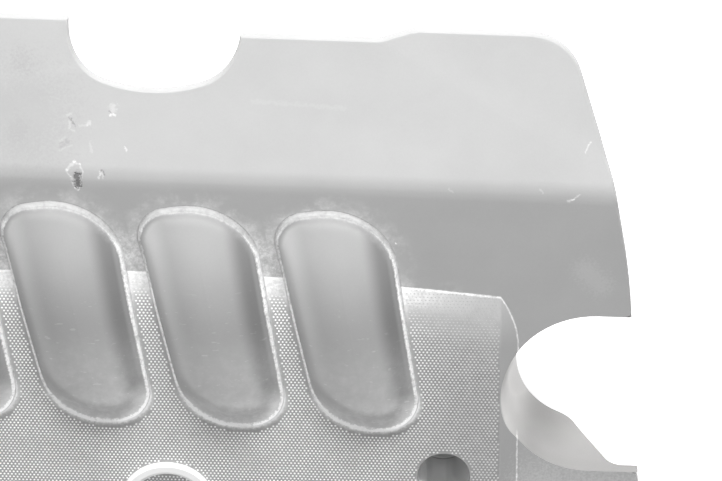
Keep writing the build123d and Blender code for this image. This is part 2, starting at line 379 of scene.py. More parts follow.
@dataclass(frozen=True)
class HumpRow:
    """The row of slanted humps: a rolled edge that drops towards the rear, and a dome that leans left."""

    pitch: float = 82.4
    row_x: float = -13.4
    y: float = 28.1
    lean: float = 0.2088
    rim: float = 1.9
    outline: RoundedQuad = RoundedQuad(
        ((-51.1, 67.2), (19.6, 78.9), (48.0, -76.6), (-16.5, -78.6)), (19.5, 44.0, 22.0, 42.0))
    front_rim_z: float = 70.5
    rear_rim_z: float = 66.0
    front_roll: float = 0.9
    rear_roll: float = 2.8
    dome_z: float = 83.0
    across_radius: float = 62.0
    rear_radius: float = 215.0
    front_radius: float = 330.0
    peak: tuple[float, float] = (-4.2, -8.0)
    edge_radius: float = 7.0
    front_ease: float = 10.0
    front_rim: float = 0.8
    blend: float = 3.0
    rear_reach: float = 42.0
    front_reach: tuple[float, float] = (34.0, 70.0)

    def centres(self) -> list[tuple[float, float]]:
        """Returns the middle of each hump."""
        return [(self.row_x + (i - 1.5) * self.pitch, self.y) for i in range(4)]

    def height(self, across: Array, along: Array, inset: Array, foot: Array) -> Array:
        """Returns the height of a hump's skin.

        Args:
            across: Places along X about its middle.
            along: Places along Y about its middle.
            inset: How far inside its outline each place is.
            foot: The height at which its edge starts.
        """
        rear = eased(along, 0.0, self.rear_reach)
        rim = self.front_rim_z + (self.rear_rim_z - self.front_rim_z) * rear
        roll = self.front_roll + (self.rear_roll - self.front_roll) * rear
        wall = foot + (rim - foot) * np.sqrt(1 - (1 - np.clip(inset / roll, 0, 1)) ** 2)
        turn = math.atan(self.lean)
        u = across * math.cos(turn) + along * math.sin(turn) - self.peak[0]
        v = along * math.cos(turn) - across * math.sin(turn) - self.peak[1]
        sag = self.across_radius - np.sqrt(self.across_radius**2 - u * u)
        swing = np.where(v > 0, self.rear_radius, self.front_radius)
        rise = self.dome_z - swing + np.sqrt((swing - sag) ** 2 - v * v) - rim
        rise = (rise + np.sqrt(rise * rise + self.blend**2)) / 2
        front = eased(-along, *self.front_reach)
        inner = inset - self.rim - self.front_rim * front
        share = np.clip(inner / (self.edge_radius + self.front_ease * front), 0, 1)
        curve = np.sqrt(1 - (1 - share) ** 2)
        return wall + rise * (curve + (share * share * (3 - 2 * share) - curve) * front)

    def local(self, x: Field, y: Field) -> tuple[Field, Field]:
        """Returns places about the middle of the nearest hump.

        Args:
            x: Along X, in mm.
            y: Along Y, in mm.
        """
        slanted = (x - self.row_x + (y - self.y) * self.lean) / self.pitch + 0.5
        index = nearest(slanted, -1.0, 2.0)
        return x - self.row_x - (index - 0.5) * self.pitch, y - self.y

    def distance(self, x: Field, y: Field) -> Field:
        """Returns the distance from the nearest hump's outline, below 0 inside.

        Args:
            x: Along X, in mm.
            y: Along Y, in mm.
        """
        return self.outline.distance(*self.local(x, y))

    def from_side(self, x: Field, y: Field, corner: int) -> Field:
        """Returns the distance from one side of the nearest hump, below 0 inside.

        Args:
            x: Along X, in mm.
            y: Along Y, in mm.
            corner: The number of the corner at which the side starts.
        """
        start, end = Vector(self.outline.corners[corner]), Vector(self.outline.corners[(corner + 1) % 4])
        out = left_of(end - start).normalized()
        across, along = self.local(x, y)
        return (across - start.x) * out.x + (along - start.y) * out.y


@dataclass(frozen=True)
class Panel:
    """The raised panel: its top rolls down to the rear, and its sides slope from straight creases."""

    half: float = 212.0
    rear: float = 44.0
    front: float = -160.0
    bulge: float = 10.3
    spread: float = 9.0
    flank: float = 11.0
    roll: float = 33.0
    rise: float = 6.0
    band_z: float = 62.0
    corner_radius: float = 6.0
    foot_run: float = 2.2

    def from_rear(self, x: Field, y: Field) -> Field:
        """Returns the distance in front of the bowed rear line.

        Args:
            x: Along X, in mm.
            y: Along Y, in mm.
        """
        return self.bulge * (1 - x * x / self.half**2) + self.rear - y

    def from_side(self, x: Field, y: Field) -> Field:
        """Returns the distance inside the nearer side line.

        Args:
            x: Along X, in mm.
            y: Along Y, in mm.
        """
        return self.from_rear(x, y) * (self.spread / (self.rear - self.front)) + self.half - abs(x)

    def above_band(self, x: Field, y: Field) -> Field:
        """Returns the height of its skin over the band, below 0 outside.

        Args:
            x: Along X, in mm.
            y: Along Y, in mm.
        """
        short = larger(1 - self.from_rear(x, y) / self.roll, 0.0)
        past = larger(self.flank - self.from_side(x, y), 0.0)
        return (1 - short * short) * self.rise - past * (self.rise / self.flank)

    def foot(self, x: Field, y: Field) -> Field:
        """Returns about the distance from the foot line, below 0 inside.

        Args:
            x: Along X, in mm.
            y: Along Y, in mm.
        """
        return self.above_band(x, y) * -self.foot_run

    def top(self, x: Field, y: Field) -> Field:
        """Returns the distance from the edge of its top, below 0 inside.

        Args:
            x: Along X, in mm.
            y: Along Y, in mm.
        """
        rear = self.from_rear(x, y)
        ends = larger(-rear, rear - (self.rear - self.front - self.flank))
        return larger(ends, self.flank - self.from_side(x, y))

    def loaded_outline(self, x: Array, y: Array) -> Array:
        """Returns the distance from the foot line of the loaded solid, below 0 inside.

        Args:
            x: Along X, in mm.
            y: Along Y, in mm.
        """
        wide = self.half + self.spread
        corners = ((-self.half, self.rear), (self.half, self.rear), (wide, self.front), (-wide, self.front))
        straight = y - self.bulge * (1 - x * x / self.half**2)
        return RoundedQuad(corners, (self.corner_radius,) * 4).distance(x, straight)


@dataclass(frozen=True)
class Round:
    """A round feature seen from above."""

    x: float
    y: float
    radius: float

    def distance(self, x: Field, y: Field) -> Field:
        """Returns the distance from its edge, below 0 inside.

        Args:
            x: Along X, in mm.
            y: Along Y, in mm.
        """
        return root((x - self.x) * (x - self.x) + (y - self.y) * (y - self.y)) - self.radius


HUMPS = HumpRow()
PANEL = Panel()
RING = Round(0.0, -108.7, 30.0)
WELLS = (Round(-171.6, -81.7, 16.5), Round(171.6, -81.7, 16.5))
SIDE_CUT = Round(261.0, -22.2, 56.0)


@dataclass(frozen=True)
class Mark:
    """A scratch, chip, smear or broad patch from one place to another; its shade is how much lighter it is, or
    darker below 0.
    """

    start: tuple[float, float]
    end: tuple[float, float]
    width: float
    shade: float

    def mask(self, graph: "Graph", x: Sock, y: Sock, ragged: Sock) -> Sock:
        """Returns how much of the mark shows, from 0 to 1.

        Args:
            graph: The material's graph.
            x: Along X, in mm.
            y: Along Y, in mm.
            ragged: An offset that breaks up its edge, in widths.
        """
        a, b = Vector(self.start), Vector(self.end)
        span = b - a
        dx, dy = x - a.x, y - a.y
        share = graph.clamp((dx * span.x + dy * span.y) / max(span.length_squared, 1e-6))
        ex, ey = dx - share * span.x, dy - share * span.y
        gap = root(ex * ex + ey * ey) / self.width + ragged
        return graph.ramp(gap, 1.25, 0.2)


@dataclass(frozen=True)
class Gouge:
    """A torn place in the skin: a pit darkened with painted shade, within a pale ragged edge."""

    edge: tuple[tuple[float, float], ...] = (
        (-56.5, 125.5), (-61.3, 121.0), (-58.7, 117.1), (-57.2, 113.2), (-56.7, 109.8),
        (-54.3, 108.6), (-52.7, 113.4), (-51.6, 120.4), (-54.0, 124.3))
    pit: Mark = Mark((-55.0, 118.0), (-54.7, 112.2), 2.5, -0.6)
    edge_width: float = 0.8
    edge_shares: tuple[float, ...] = (1.3, 0.8, 1.1, 0.7, 0.8, 0.6, 0.9, 0.7, 1.1)
    edge_shade: float = 0.30

    def marks(self) -> list[Mark]:
        """Returns its pale edge, stretch by stretch."""
        ends = self.edge[1:] + self.edge[:1]
        shares = zip(self.edge, ends, self.edge_shares)
        return [Mark(a, b, self.edge_width * share, self.edge_shade) for a, b, share in shares]


@dataclass(frozen=True)
class PlasticFinish:
    """Grey satin moulded plastic, dusty round the humps, worn at its edges and scratched, with painted light and
    shade on the humps, the panel, the wells and the side cut-out's wall.
    """

    name: str = "cover_plastic"
    base: float = 0.36
    dust: float = 0.52
    caked: float = 0.70
    worn: float = 0.80
    # Tone of the painted shade at the rear of each hump.
    rear_shade: float = 0.30
    ground: float = 0.36
    # Tone of the wells' walls, far paler than the shell: painted light where little light reaches.
    well: float = 0.92
    roughness: float = 0.46
    specular: float = 0.22
    gouge: Gouge = Gouge()
    # Start, end, width and shade of each mark. The 32 mm wide patch on the rear slope's left is painted shade, and
    # the 30 mm wide patch on the band at the front right is painted light.
    marks: tuple[Mark, ...] = tuple(Mark(row[:2], row[2:4], *row[4:]) for row in (
        (-60.5, 149.3, -56.7, 144.1, 0.6, -0.30), (-62.3, 149.6, -59.4, 150.6, 0.8, 0.16),
        (-60.3, 147.1, -60.6, 142.6, 0.8, 0.18), (-59.6, 142.1, -57.6, 141.8, 0.6, 0.16),
        (-49.8, 146.1, -48.8, 146.1, 1.5, 0.26), (-54.2, 144.2, -50.3, 145.2, 0.7, 0.12),
        (-63.8, 134.2, -61.4, 136.0, 2.2, -0.10), (-66.3, 136.3, -62.9, 137.9, 0.8, 0.12),
        (-65.7, 131.4, -58.8, 134.7, 0.8, 0.12), (-47.5, 136.0, -47.3, 131.6, 1.0, 0.12),
        (-34.7, 154.8, -34.7, 153.2, 2.6, 0.20), (-36.6, 150.6, -33.1, 151.0, 0.7, 0.50),
        (-37.1, 152.4, -36.0, 151.6, 0.6, -0.30), (-27.6, 134.4, -26.2, 132.7, 0.7, 0.40),
        (-42.3, 116.7, -41.5, 120.3, 0.7, 0.40), (-39.9, 116.8, -40.6, 119.4, 0.7, 0.34),
        (-40.3, 121.6, -39.0, 119.5, 0.7, -0.34), (249.1, 145.0, 246.9, 139.7, 0.5, 0.34),
        (220.4, 119.8, 222.3, 117.2, 0.7, 0.24), (166.3, 118.1, 168.2, 116.0, 0.6, 0.22),
        (237.4, 112.9, 240.3, 114.0, 0.9, 0.45), (240.3, 114.0, 243.7, 117.3, 0.6, 0.40),
        (135.6, 79.4, 135.7, 79.6, 0.7, 0.9), (47.5, 160.5, 102.9, 158.5, 1.2, 0.05),
        (-89.9, 179.0, -89.0, 177.5, 6.5, -0.05), (-91.1, 143.5, -91.0, 142.0, 7.0, -0.04),
        (-100.0, 150.0, -85.0, 150.0, 32.0, -0.06), (250.5, 66.0, 260.2, 55.9, 9.0, 0.10),
        (235.0, -100.0, 290.0, -105.0, 30.0, 0.22)))

    def material(self) -> bpy.types.Material:
        """Returns the material."""
        graph = Graph(self.name)
        ramp = graph.ramp
        x, y, z = graph.xyz()
        _, rearward, up = graph.normal()
        hump = HUMPS.distance(x, y)
        foot = PANEL.foot(x, y)
        top = PANEL.top(x, y)
        along = y - HUMPS.y
        fine = graph.noise(1.1, 4.0, 0.6)
        streak = graph.noise(7.0, 5.0, 0.7, shift=31.0)
        cloud = graph.noise(38.0, 4.0, 0.55, shift=7.0)
        broken = graph.noise(5.0, 5.0, 0.7, shift=3.0)
        ridge = graph.noise(2.2, 4.0, 0.65, shift=53.0)
        grain = ramp(graph.noise(2.6, 5.0, 0.8, shift=71.0), 0.4, 0.62)
        blotch = ramp(graph.noise(13.0, 5.0, 0.62, shift=11.0), 0.46, 0.66)
        tone = self.base + (cloud - 0.5) * 0.05 + (fine - 0.5) * 0.03

        upper = ramp(z, 55.0, 61.0) * ramp(up, -0.3, 0.1)
        on_band = ramp(foot, -1.0, 1.0) * upper
        on_top = ramp(top, 0.3, -1.2) * upper
        inside = ramp(hump, -HUMPS.rim + 0.2, -HUMPS.rim - 0.8) * upper
        outside = ramp(hump, -0.2, 0.6)
        behind = ramp(along, 30.0, 62.0)

        halo = ramp(hump, 15.0, 1.0) * outside * on_band * blotch * ramp(y, 40.0, 75.0)
        gaps = ramp(hump, 10.0, 5.0) * outside * on_band * ramp(x, 110.0, 60.0) * ramp(y, 98.0, 66.0)
        ledge = ramp(foot, 8.0, 0.5) * on_band * outside * ramp(y, 25.0, 45.0) * ramp(x, 215.0, 150.0)
        from_rear = PANEL.from_rear(x, y)
        strip = (ramp(from_rear, 24.0, 5.0) * ramp(foot, 0.4, -0.4) * ramp(x, 212.0, 135.0) * outside
                 * upper)
        dusty = graph.clamp(halo * (0.45 + grain * 0.4) + ledge * blotch * (0.3 + grain * 0.4))
        tone = tone + dusty * (self.dust - tone)
        caked = graph.clamp(strip * (0.55 + grain * 0.45)
                            + gaps * ramp(streak * 0.6 + broken * 0.4, 0.34, 0.54) * (0.2 + grain * 0.55))
        tone = tone + caked * (self.caked - tone)

        dots = on_top * ramp(hump, 1.2, 2.6)
        for well in WELLS:
            dots = dots * ramp(well.distance(x, y), 0.3, 1.2)
        shaded = ramp(x, 110.0, 170.0) * ramp(from_rear, 20.0, 60.0) * 0.06
        tone = tone + dots * (1 - strip) * (self.ground - shaded + (streak - 0.5) * 0.16 - tone)

        front = ramp(along, -46.0, -72.0)
        # Painted shade and light inside the humps: lighter towards the rear end, darker in a broad band along the
        # right side but less so in a narrow strip by its edge, lighter along the left side, and a little darker on
        # the humps further left.
        from_right = HUMPS.from_side(x, y, 1)
        right = ramp(from_right, -20.0, -8.5) * ramp(along, -66.0, -44.0)
        bevel = ramp(from_right, -6.0, -3.8) * ramp(along, -55.0, -30.0)
        left = ramp(HUMPS.from_side(x, y, 3), -20.0, -7.0)
        tone = tone * (1 - inside * ramp(along, 58.0, 8.0) * 0.12) * (1 - inside * (right * 0.42 - bevel * 0.2))
        tone = tone * (1 + inside * left * 0.34) * (1 - inside * ramp(x, 0.0, -80.0) * 0.08)
        scuff = inside * ramp(along, 5.0, -50.0) * (1 - right * 0.5)
        scuff = scuff * (0.75 + ramp(streak, 0.35, 0.75) * 0.35)
        tone = tone + graph.clamp(scuff * 0.85) * (self.dust - tone)
        cream = inside * ramp(along, -46.0, -64.0) * (0.55 + ramp(broken, 0.4, 0.62) * 0.45)
        tone = tone + cream * 0.75 * (self.caked - tone)
        dash = graph.noise(3.0, 2.0, 0.5, stretch=(0.55, 1.6, 1.0), shift=41.0)
        tone = tone * (1 + inside * ramp(dash, 0.66, 0.74) * ramp(along, 45.0, -10.0) * 0.22)

        # Painted shade: a darker, blotchy band round the rear inside edge of each hump, where the rolled edge faces
        # the light.
        rear_shade = ramp(hump + (broken - 0.5) * 3.0, -6.0, -2.5) * ramp(hump, 0.9, 0.3) * behind * upper
        tone = tone + graph.clamp(rear_shade) * (self.rear_shade * (0.72 + broken * 0.5) - tone)
        # Pale land in front of each hump: partly dust, partly painted light over the humps' cast shadows.
        front_dust_and_light = ramp(hump + (ridge - 0.5) * 4.0, 4.4, 1.2) * outside * front * on_top
        tone = tone + front_dust_and_light * (self.caked - tone) * (0.7 + grain * 0.3)
        # Pale line along each hump's edge: dust and wear in the crease, with painted light making it paler and wider
        # at the front, where the edge is in shade, and painted shade keeping it less pale at the rear of each hump
        # and on faces that look to the rear, where the light falls.
        edge = abs(hump + 1.1 - front * 0.5 + (ridge - 0.5) * (1.8 + front * 2.2)) / (1 + front * 0.9)
        rim = ramp(edge, 1.6, 0.6) * upper * (1 - ramp(rearward, 0.2, 0.55) * 0.75) * (1 - behind * 0.35)
        rim = graph.clamp(rim * (0.3 + ramp(ridge, 0.38, 0.6) * 0.5 + ramp(broken, 0.35, 0.55) * 0.4
                                 + front * 0.35))
        tone = tone + rim * (self.worn + front * 0.14 - tone)
        # Pale ragged line along the panel's foot: partly wear, partly a painted highlight on the edge.
        foot_line = ramp(abs(foot + 0.35 + (ridge - 0.5) * 1.2), 0.9, 0.15) * outside * upper
        foot_line = foot_line * (0.25 + ramp(broken, 0.35, 0.6) * 0.6)
        tone = tone + graph.clamp(foot_line) * (self.worn - tone)

        tone, cut_wall = self.recessed(graph, tone)
        tone, pit = self.scratched(graph, tone)
        # The cut-out's wall is tinted faintly warm, as part of its painted light.
        graph.feed("Base Color", graph.grey(tone, cut_wall * 0.012))
        worn = graph.clamp(dusty + rim * 0.6 + rear_shade * 0.6)
        graph.feed("Roughness", self.roughness - inside * 0.04 + worn * 0.3)
        graph.feed("Specular IOR Level", self.specular)
        graph.bump(fine * 0.05 + streak * worn * 0.1 - pit * 1.2, 0.5, 1.0)
        return graph.material

    def recessed(self, graph: Graph, tone: Sock) -> tuple[Sock, Sock]:
        """Paints light and shade on the walls of the wells and of the side cut-out.

        Args:
            graph: The material's graph.
            tone: The tone so far.

        Returns:
            The tone, and how much of a place is the cut-out's wall.
        """
        x, y, z = graph.xyz()
        _, rearward, up = graph.normal()
        ramp = graph.ramp
        # Painted light and shade on each well's wall: far paler than the shell, with two lighter upright bands,
        # darker towards the right, darker further down and darker still at its foot.
        for well in WELLS:
            across = (x - well.x) / well.radius
            painted_light_bands = ramp(abs(across + 0.72), 0.16, 0.04) * 0.3
            painted_light_bands = painted_light_bands + ramp(abs(across + 0.12), 0.36, 0.18) * 0.16
            wall = (1 + painted_light_bands - ramp(across, 0.2, 0.5) * 0.16) * (0.8 + ramp(z, 22.0, 56.0) * 0.2)
            wall = wall * (1 - ramp(z, 24.5, 23.5) * 0.5) * self.well
            tone = tone + ramp(well.distance(x, y), 0.5, 0.0) * ramp(z, 66.0, 63.0) * (wall - tone)
        # Painted light on the side cut-out's wall: lighter where it faces the side and further down, darker high up
        # where it faces the rear.
        slot_x = -larger(SIDE_CUT.x - x, 0.0)
        cut = root(slot_x * slot_x + (y - SIDE_CUT.y) * (y - SIDE_CUT.y)) - SIDE_CUT.radius
        cut_wall = ramp(cut, 1.2, 0.4) * ramp(up, 0.75, 0.5) * ramp(x, 180.0, 190.0)
        lit = 0.64 + 1.05 * ramp(rearward, 0.78, 0.18)
        lit = lit * (1 + ramp(z, 58.0, 8.0) * (1.0 + ramp(rearward, 0.94, 0.6) * 0.58))
        lit = (graph.maths("MINIMUM", lit, 2.45) - 1) * ramp(rearward, -0.3, 0.1)
        return tone * (1 + cut_wall * lit), cut_wall

    def scratched(self, graph: Graph, tone: Sock) -> tuple[Sock, Sock]:
        """Draws the marks and the gouge.

        Args:
            graph: The material's graph.
            tone: The tone so far.

        Returns:
            The tone, and how much of the gouge's pit shows.
        """
        x, y, z = graph.xyz()
        ragged = (graph.noise(1.6, 3.0, 0.6, shift=23.0) - 0.5) * 3.0
        bent_x = x + (graph.noise(3.2, 3.0, 0.6, shift=61.0) - 0.5) * 4.0
        bent_y = y + (graph.noise(3.2, 3.0, 0.6, shift=67.0) - 0.5) * 4.0
        skin = graph.ramp(graph.normal()[2], 0.3, 0.6) * graph.ramp(z, 8.0, 12.0)
        for mark in (*self.marks, *self.gouge.marks()):
            tone = tone * (1 + mark.mask(graph, bent_x, bent_y, ragged) * skin * mark.shade)
        # The gouge's pit is darkened with painted shade.
        pit = self.gouge.pit.mask(graph, bent_x, bent_y, ragged) * skin
        return tone * (1 + pit * self.gouge.pit.shade), pit


@dataclass(frozen=True)
class DotFinish:
    """The tops of the moulded dots: pale from wear, with a painted highlight that fades towards the rear and to the
    right.
    """

    name: str = "dot_plastic"
    base: float = 0.95
    dull: float = 0.42
    roughness: float = 0.38

    def material(self) -> bpy.types.Material:
        """Returns the material."""
        graph = Graph(self.name)
        x, y, _ = graph.xyz()
        worn = graph.noise(22.0, 4.0, 0.6, shift=17.0)
        # Painted highlight on the dot tops, partly wear: bright away from the rear edge, fading towards the rear and
        # to the right.
        clear = graph.ramp(PANEL.from_rear(x, y) / (16 + graph.ramp(x, 110.0, 180.0) * 26), 0.15, 1.1)
        clear = clear * (1 - graph.ramp(x, 120.0, 195.0) * 0.7)
        graph.feed("Base Color", graph.grey(self.dull + clear * (self.base + (worn - 0.5) * 0.5 - self.dull)))
        graph.feed("Roughness", self.roughness)
        return graph.material


@dataclass(frozen=True)
class PlainFinish:
    """One even colour."""

    name: str
    colour: tuple[float, float, float]
    roughness: float
    metallic: float = 0.0

    def material(self) -> bpy.types.Material:
        """Returns the material."""
        graph = Graph(self.name)
        graph.feed("Base Color", (*self.colour, 1.0))
        graph.feed("Roughness", self.roughness)
        graph.feed("Metallic", self.metallic)
        return graph.material


@dataclass(frozen=True)
class FloorFinish:
    """A white floor, to the eye and in reflections, and a weak source of its own like a light table."""

    name: str = "floor_white"
    colour: tuple[float, float, float] = (0.9, 0.9, 0.9)
    roughness: float = 0.9
    glow: float = 0.85
    table: float = 0.45

    def material(self) -> bpy.types.Material:
        """Returns the material."""
        graph = Graph(self.name)
        path = graph.add("ShaderNodeLightPath", {}, "Is Camera Ray").socket.node
        rays = [Sock(graph, path.outputs[f"Is {kind} Ray"]) for kind in ("Camera", "Glossy", "Transmission")]
        graph.feed("Base Color", (*self.colour, 1.0))
        graph.feed("Roughness", self.roughness)
        seen = graph.clamp(rays[0] + rays[1] + rays[2])
        graph.feed("Emission Color", graph.grey(self.table + seen * (1 - self.table)))
        graph.feed("Emission Strength", self.glow)
        return graph.material


@contextmanager
def editing(piece: Piece) -> Iterator[None]:
    """Opens a piece for mesh operators, with the whole of it selected, and closes it again.

    Args:
        piece: The piece; it is left selected alone and active.
    """
    bpy.ops.object.select_all(action="DESELECT")
    piece.select_set(True)
    bpy.context.view_layer.objects.active = piece
    bpy.ops.object.mode_set(mode="EDIT")
    bpy.ops.mesh.select_all(action="SELECT")
    yield
    bpy.ops.object.mode_set(mode="OBJECT")


def places_of(piece: Piece) -> Array:
    """Returns the places of a piece's vertices in mm, a row for each.

    Args:
        piece: The piece.
    """
    flat = np.empty(len(piece.data.vertices) * 3)
    piece.data.vertices.foreach_get("co", flat)
    return flat.reshape(-1, 3) / MM


def move(piece: Piece, places: Array) -> None:
    """Moves a piece's vertices.

    Args:
        piece: The piece.
        places: The new places in mm, a row for each.
    """
    piece.data.vertices.foreach_set("co", (places * MM).ravel())
    piece.data.update()


def face_values(piece: Piece, name: str) -> Array:
    """Returns a value of three parts for each face of a piece, a row for each part.

    Args:
        piece: The piece.
        name: The value's name, center or normal.
    """
    flat = np.empty(len(piece.data.polygons) * 3)
    piece.data.polygons.foreach_get(name, flat)
    return flat.reshape(-1, 3).T


def copy_of(node: str, name: str) -> Piece:
    """Copies a CAD node as a new piece with its loose triangles merged.

    Args:
        node: The CAD node's name.
        name: The new piece's name.

    Returns:
        The new piece, selected and active.
    """
    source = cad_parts[node]
    piece = source.copy()
    piece.data = source.data.copy()
    piece.name = name
    piece.data.name = name
    piece.data.materials.clear()
    bpy.context.scene.collection.objects.link(piece)
    with editing(piece):
        bpy.ops.mesh.customdata_custom_splitnormals_clear()
        bpy.ops.mesh.remove_doubles(threshold=MERGE)
    return piece


def dress(piece: Piece, finish: object, slot: Slot, *nodes: str) -> Piece:
    """Gives a piece its finish and its body.

    Args:
        piece: The piece.
        finish: An object with a material method.
        slot: The record's material slot; not used.
        *nodes: The CAD nodes that the piece stands for.

    Returns:
        The piece.
    """
    piece.data.materials.append(finish.material())
    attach(piece, "root")
    if nodes:
        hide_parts(*nodes)
    return piece


def smooth(piece: Piece, angle: float) -> None:
    """Shades a piece smooth up to an angle, with normals weighted by face area.

    Args:
        piece: The active piece.
        angle: The sharpest angle that is smoothed, in degrees.
    """
    bpy.ops.object.shade_smooth_by_angle(angle=math.radians(angle))
    modifier = piece.modifiers.new("weighted", "WEIGHTED_NORMAL")
    modifier.mode = "FACE_AREA"
    modifier.weight = 100
    modifier.keep_sharp = True
    bpy.ops.object.modifier_apply(modifier=modifier.name)


def sheet(name: str, columns: int, rows: int,
          place: Callable[[Array, Array], Array]) -> Piece:
    """Models a sheet of skin from a grid.

    Args:
        name: The piece's name.
        columns: The number of faces one way.
        rows: The number of faces the other way.
        place: Gives points in mm for column and row numbers.

    Returns:
        The piece, facing up.
    """
    bpy.ops.mesh.primitive_grid_add(x_subdivisions=columns, y_subdivisions=rows, size=1.0, location=(0, 0, 0))
    piece = bpy.context.object
    piece.name = name
    share = places_of(piece) * MM + 0.5
    move(piece, place(np.rint(share[:, 0] * columns).astype(int), np.rint(share[:, 1] * rows).astype(int)))
    with editing(piece):
        bpy.ops.mesh.remove_doubles(threshold=MERGE)
        if sum(face.normal.z * face.area for face in piece.data.polygons) < 0:
            bpy.ops.mesh.flip_normals()
    return piece


def drop_faces(piece: Piece, gone: Array) -> None:
    """Deletes faces of a piece.

    Args:
        piece: The piece.
        gone: Which of its faces go.
    """
    with editing(piece):
        bpy.ops.mesh.select_mode(type="FACE")
        bpy.ops.mesh.select_all(action="DESELECT")
    piece.data.polygons.foreach_set("select", gone)
    bpy.ops.object.mode_set(mode="EDIT")
    bpy.ops.mesh.delete(type="FACE")
    bpy.ops.object.mode_set(mode="OBJECT")


@dataclass
class HumpSkin:
    """The close-meshed skin of one hump."""

    centre: tuple[float, float]
    columns: int = 220
    insets: tuple[float, ...] = (-0.6, 0.0, 0.03, 0.1, 0.22, 0.4, 0.6, 0.8, 1.0, 1.3, 1.6, 1.9, 1.98, 2.15, 2.5,
                                 3.0, 3.5, 4.2, 5.2, 6.4, 7.6, 9.1, 10.8, 12.8, 15.0, 17.0)
    inner_rows: int = 7
    spine: float = 38.0
    sink: float = 0.4

    def build(self) -> Piece:
        """Returns the skin as a new piece."""
        return sheet("hump_skin", self.columns, len(self.insets) - 1 + self.inner_rows, self.points)

    def points(self, column: Array, row: Array) -> Array:
        """Returns the points of the skin: rings inside the outline, and then steps to the spine.

        Args:
            column: The numbers of the points round the outline.
            row: The numbers of the rings from the outside in.
        """
        edge, out = HUMPS.outline.trace(self.columns)
        rings = len(self.insets) - 1
        inset = np.array(self.insets)[np.minimum(row, rings)]
        local = edge[column] - out[column] * inset[:, None]
        turn = math.atan(HUMPS.lean)
        way = np.array((-math.sin(turn), math.cos(turn)))
        on_spine = np.clip(local @ way, -self.spine, self.spine)[:, None] * way
        local = local + (on_spine - local) * (np.clip(row - rings, 0, None) / self.inner_rows)[:, None]
        inset = np.where(row > rings, -HUMPS.outline.distance(local[:, 0], local[:, 1]), inset)
        x, y = local[:, 0] + self.centre[0], local[:, 1] + self.centre[1]
        foot = PANEL.band_z + np.maximum(PANEL.above_band(x, y), 0) - self.sink
        return np.stack([x, y, HUMPS.height(local[:, 0], local[:, 1], inset, foot)], 1)


@dataclass
class PanelRear:
    """The rolled rear stretch of the panel's skin."""

    front: float = 12.0
    columns: int = 600
    rows: int = 56
    overhang: float = 1.0
    sink: float = 0.05
    under_hump: float = 1.0

    def build(self) -> Piece:
        """Returns the skin as a new piece."""
        piece = sheet("panel_rear", self.columns, self.rows, self.points)
        x, y, _ = face_values(piece, "center") / MM
        drop_faces(piece, HUMPS.distance(x, y) < -self.under_hump)
        return piece

    def points(self, column: Array, row: Array) -> Array:
        """Returns the points of the skin, which dips under the band at its foot.

        Args:
            column: The numbers of the points from left to right.
            row: The numbers of the points from the front to the rear.
        """
        y = np.full(len(column), self.front)
        reach = PANEL.half + PANEL.spread
        x = (column / self.columns * 2 - 1) * reach
        y = self.front + row / self.rows * (PANEL.from_rear(x, y) + self.overhang)
        limit = PANEL.half + PANEL.from_rear(x, y) * (PANEL.spread / (PANEL.rear - PANEL.front)) + self.overhang
        x = np.clip(x, -limit, limit)
        return np.stack([x, y, PANEL.band_z + np.maximum(PANEL.above_band(x, y), -self.sink)], 1)


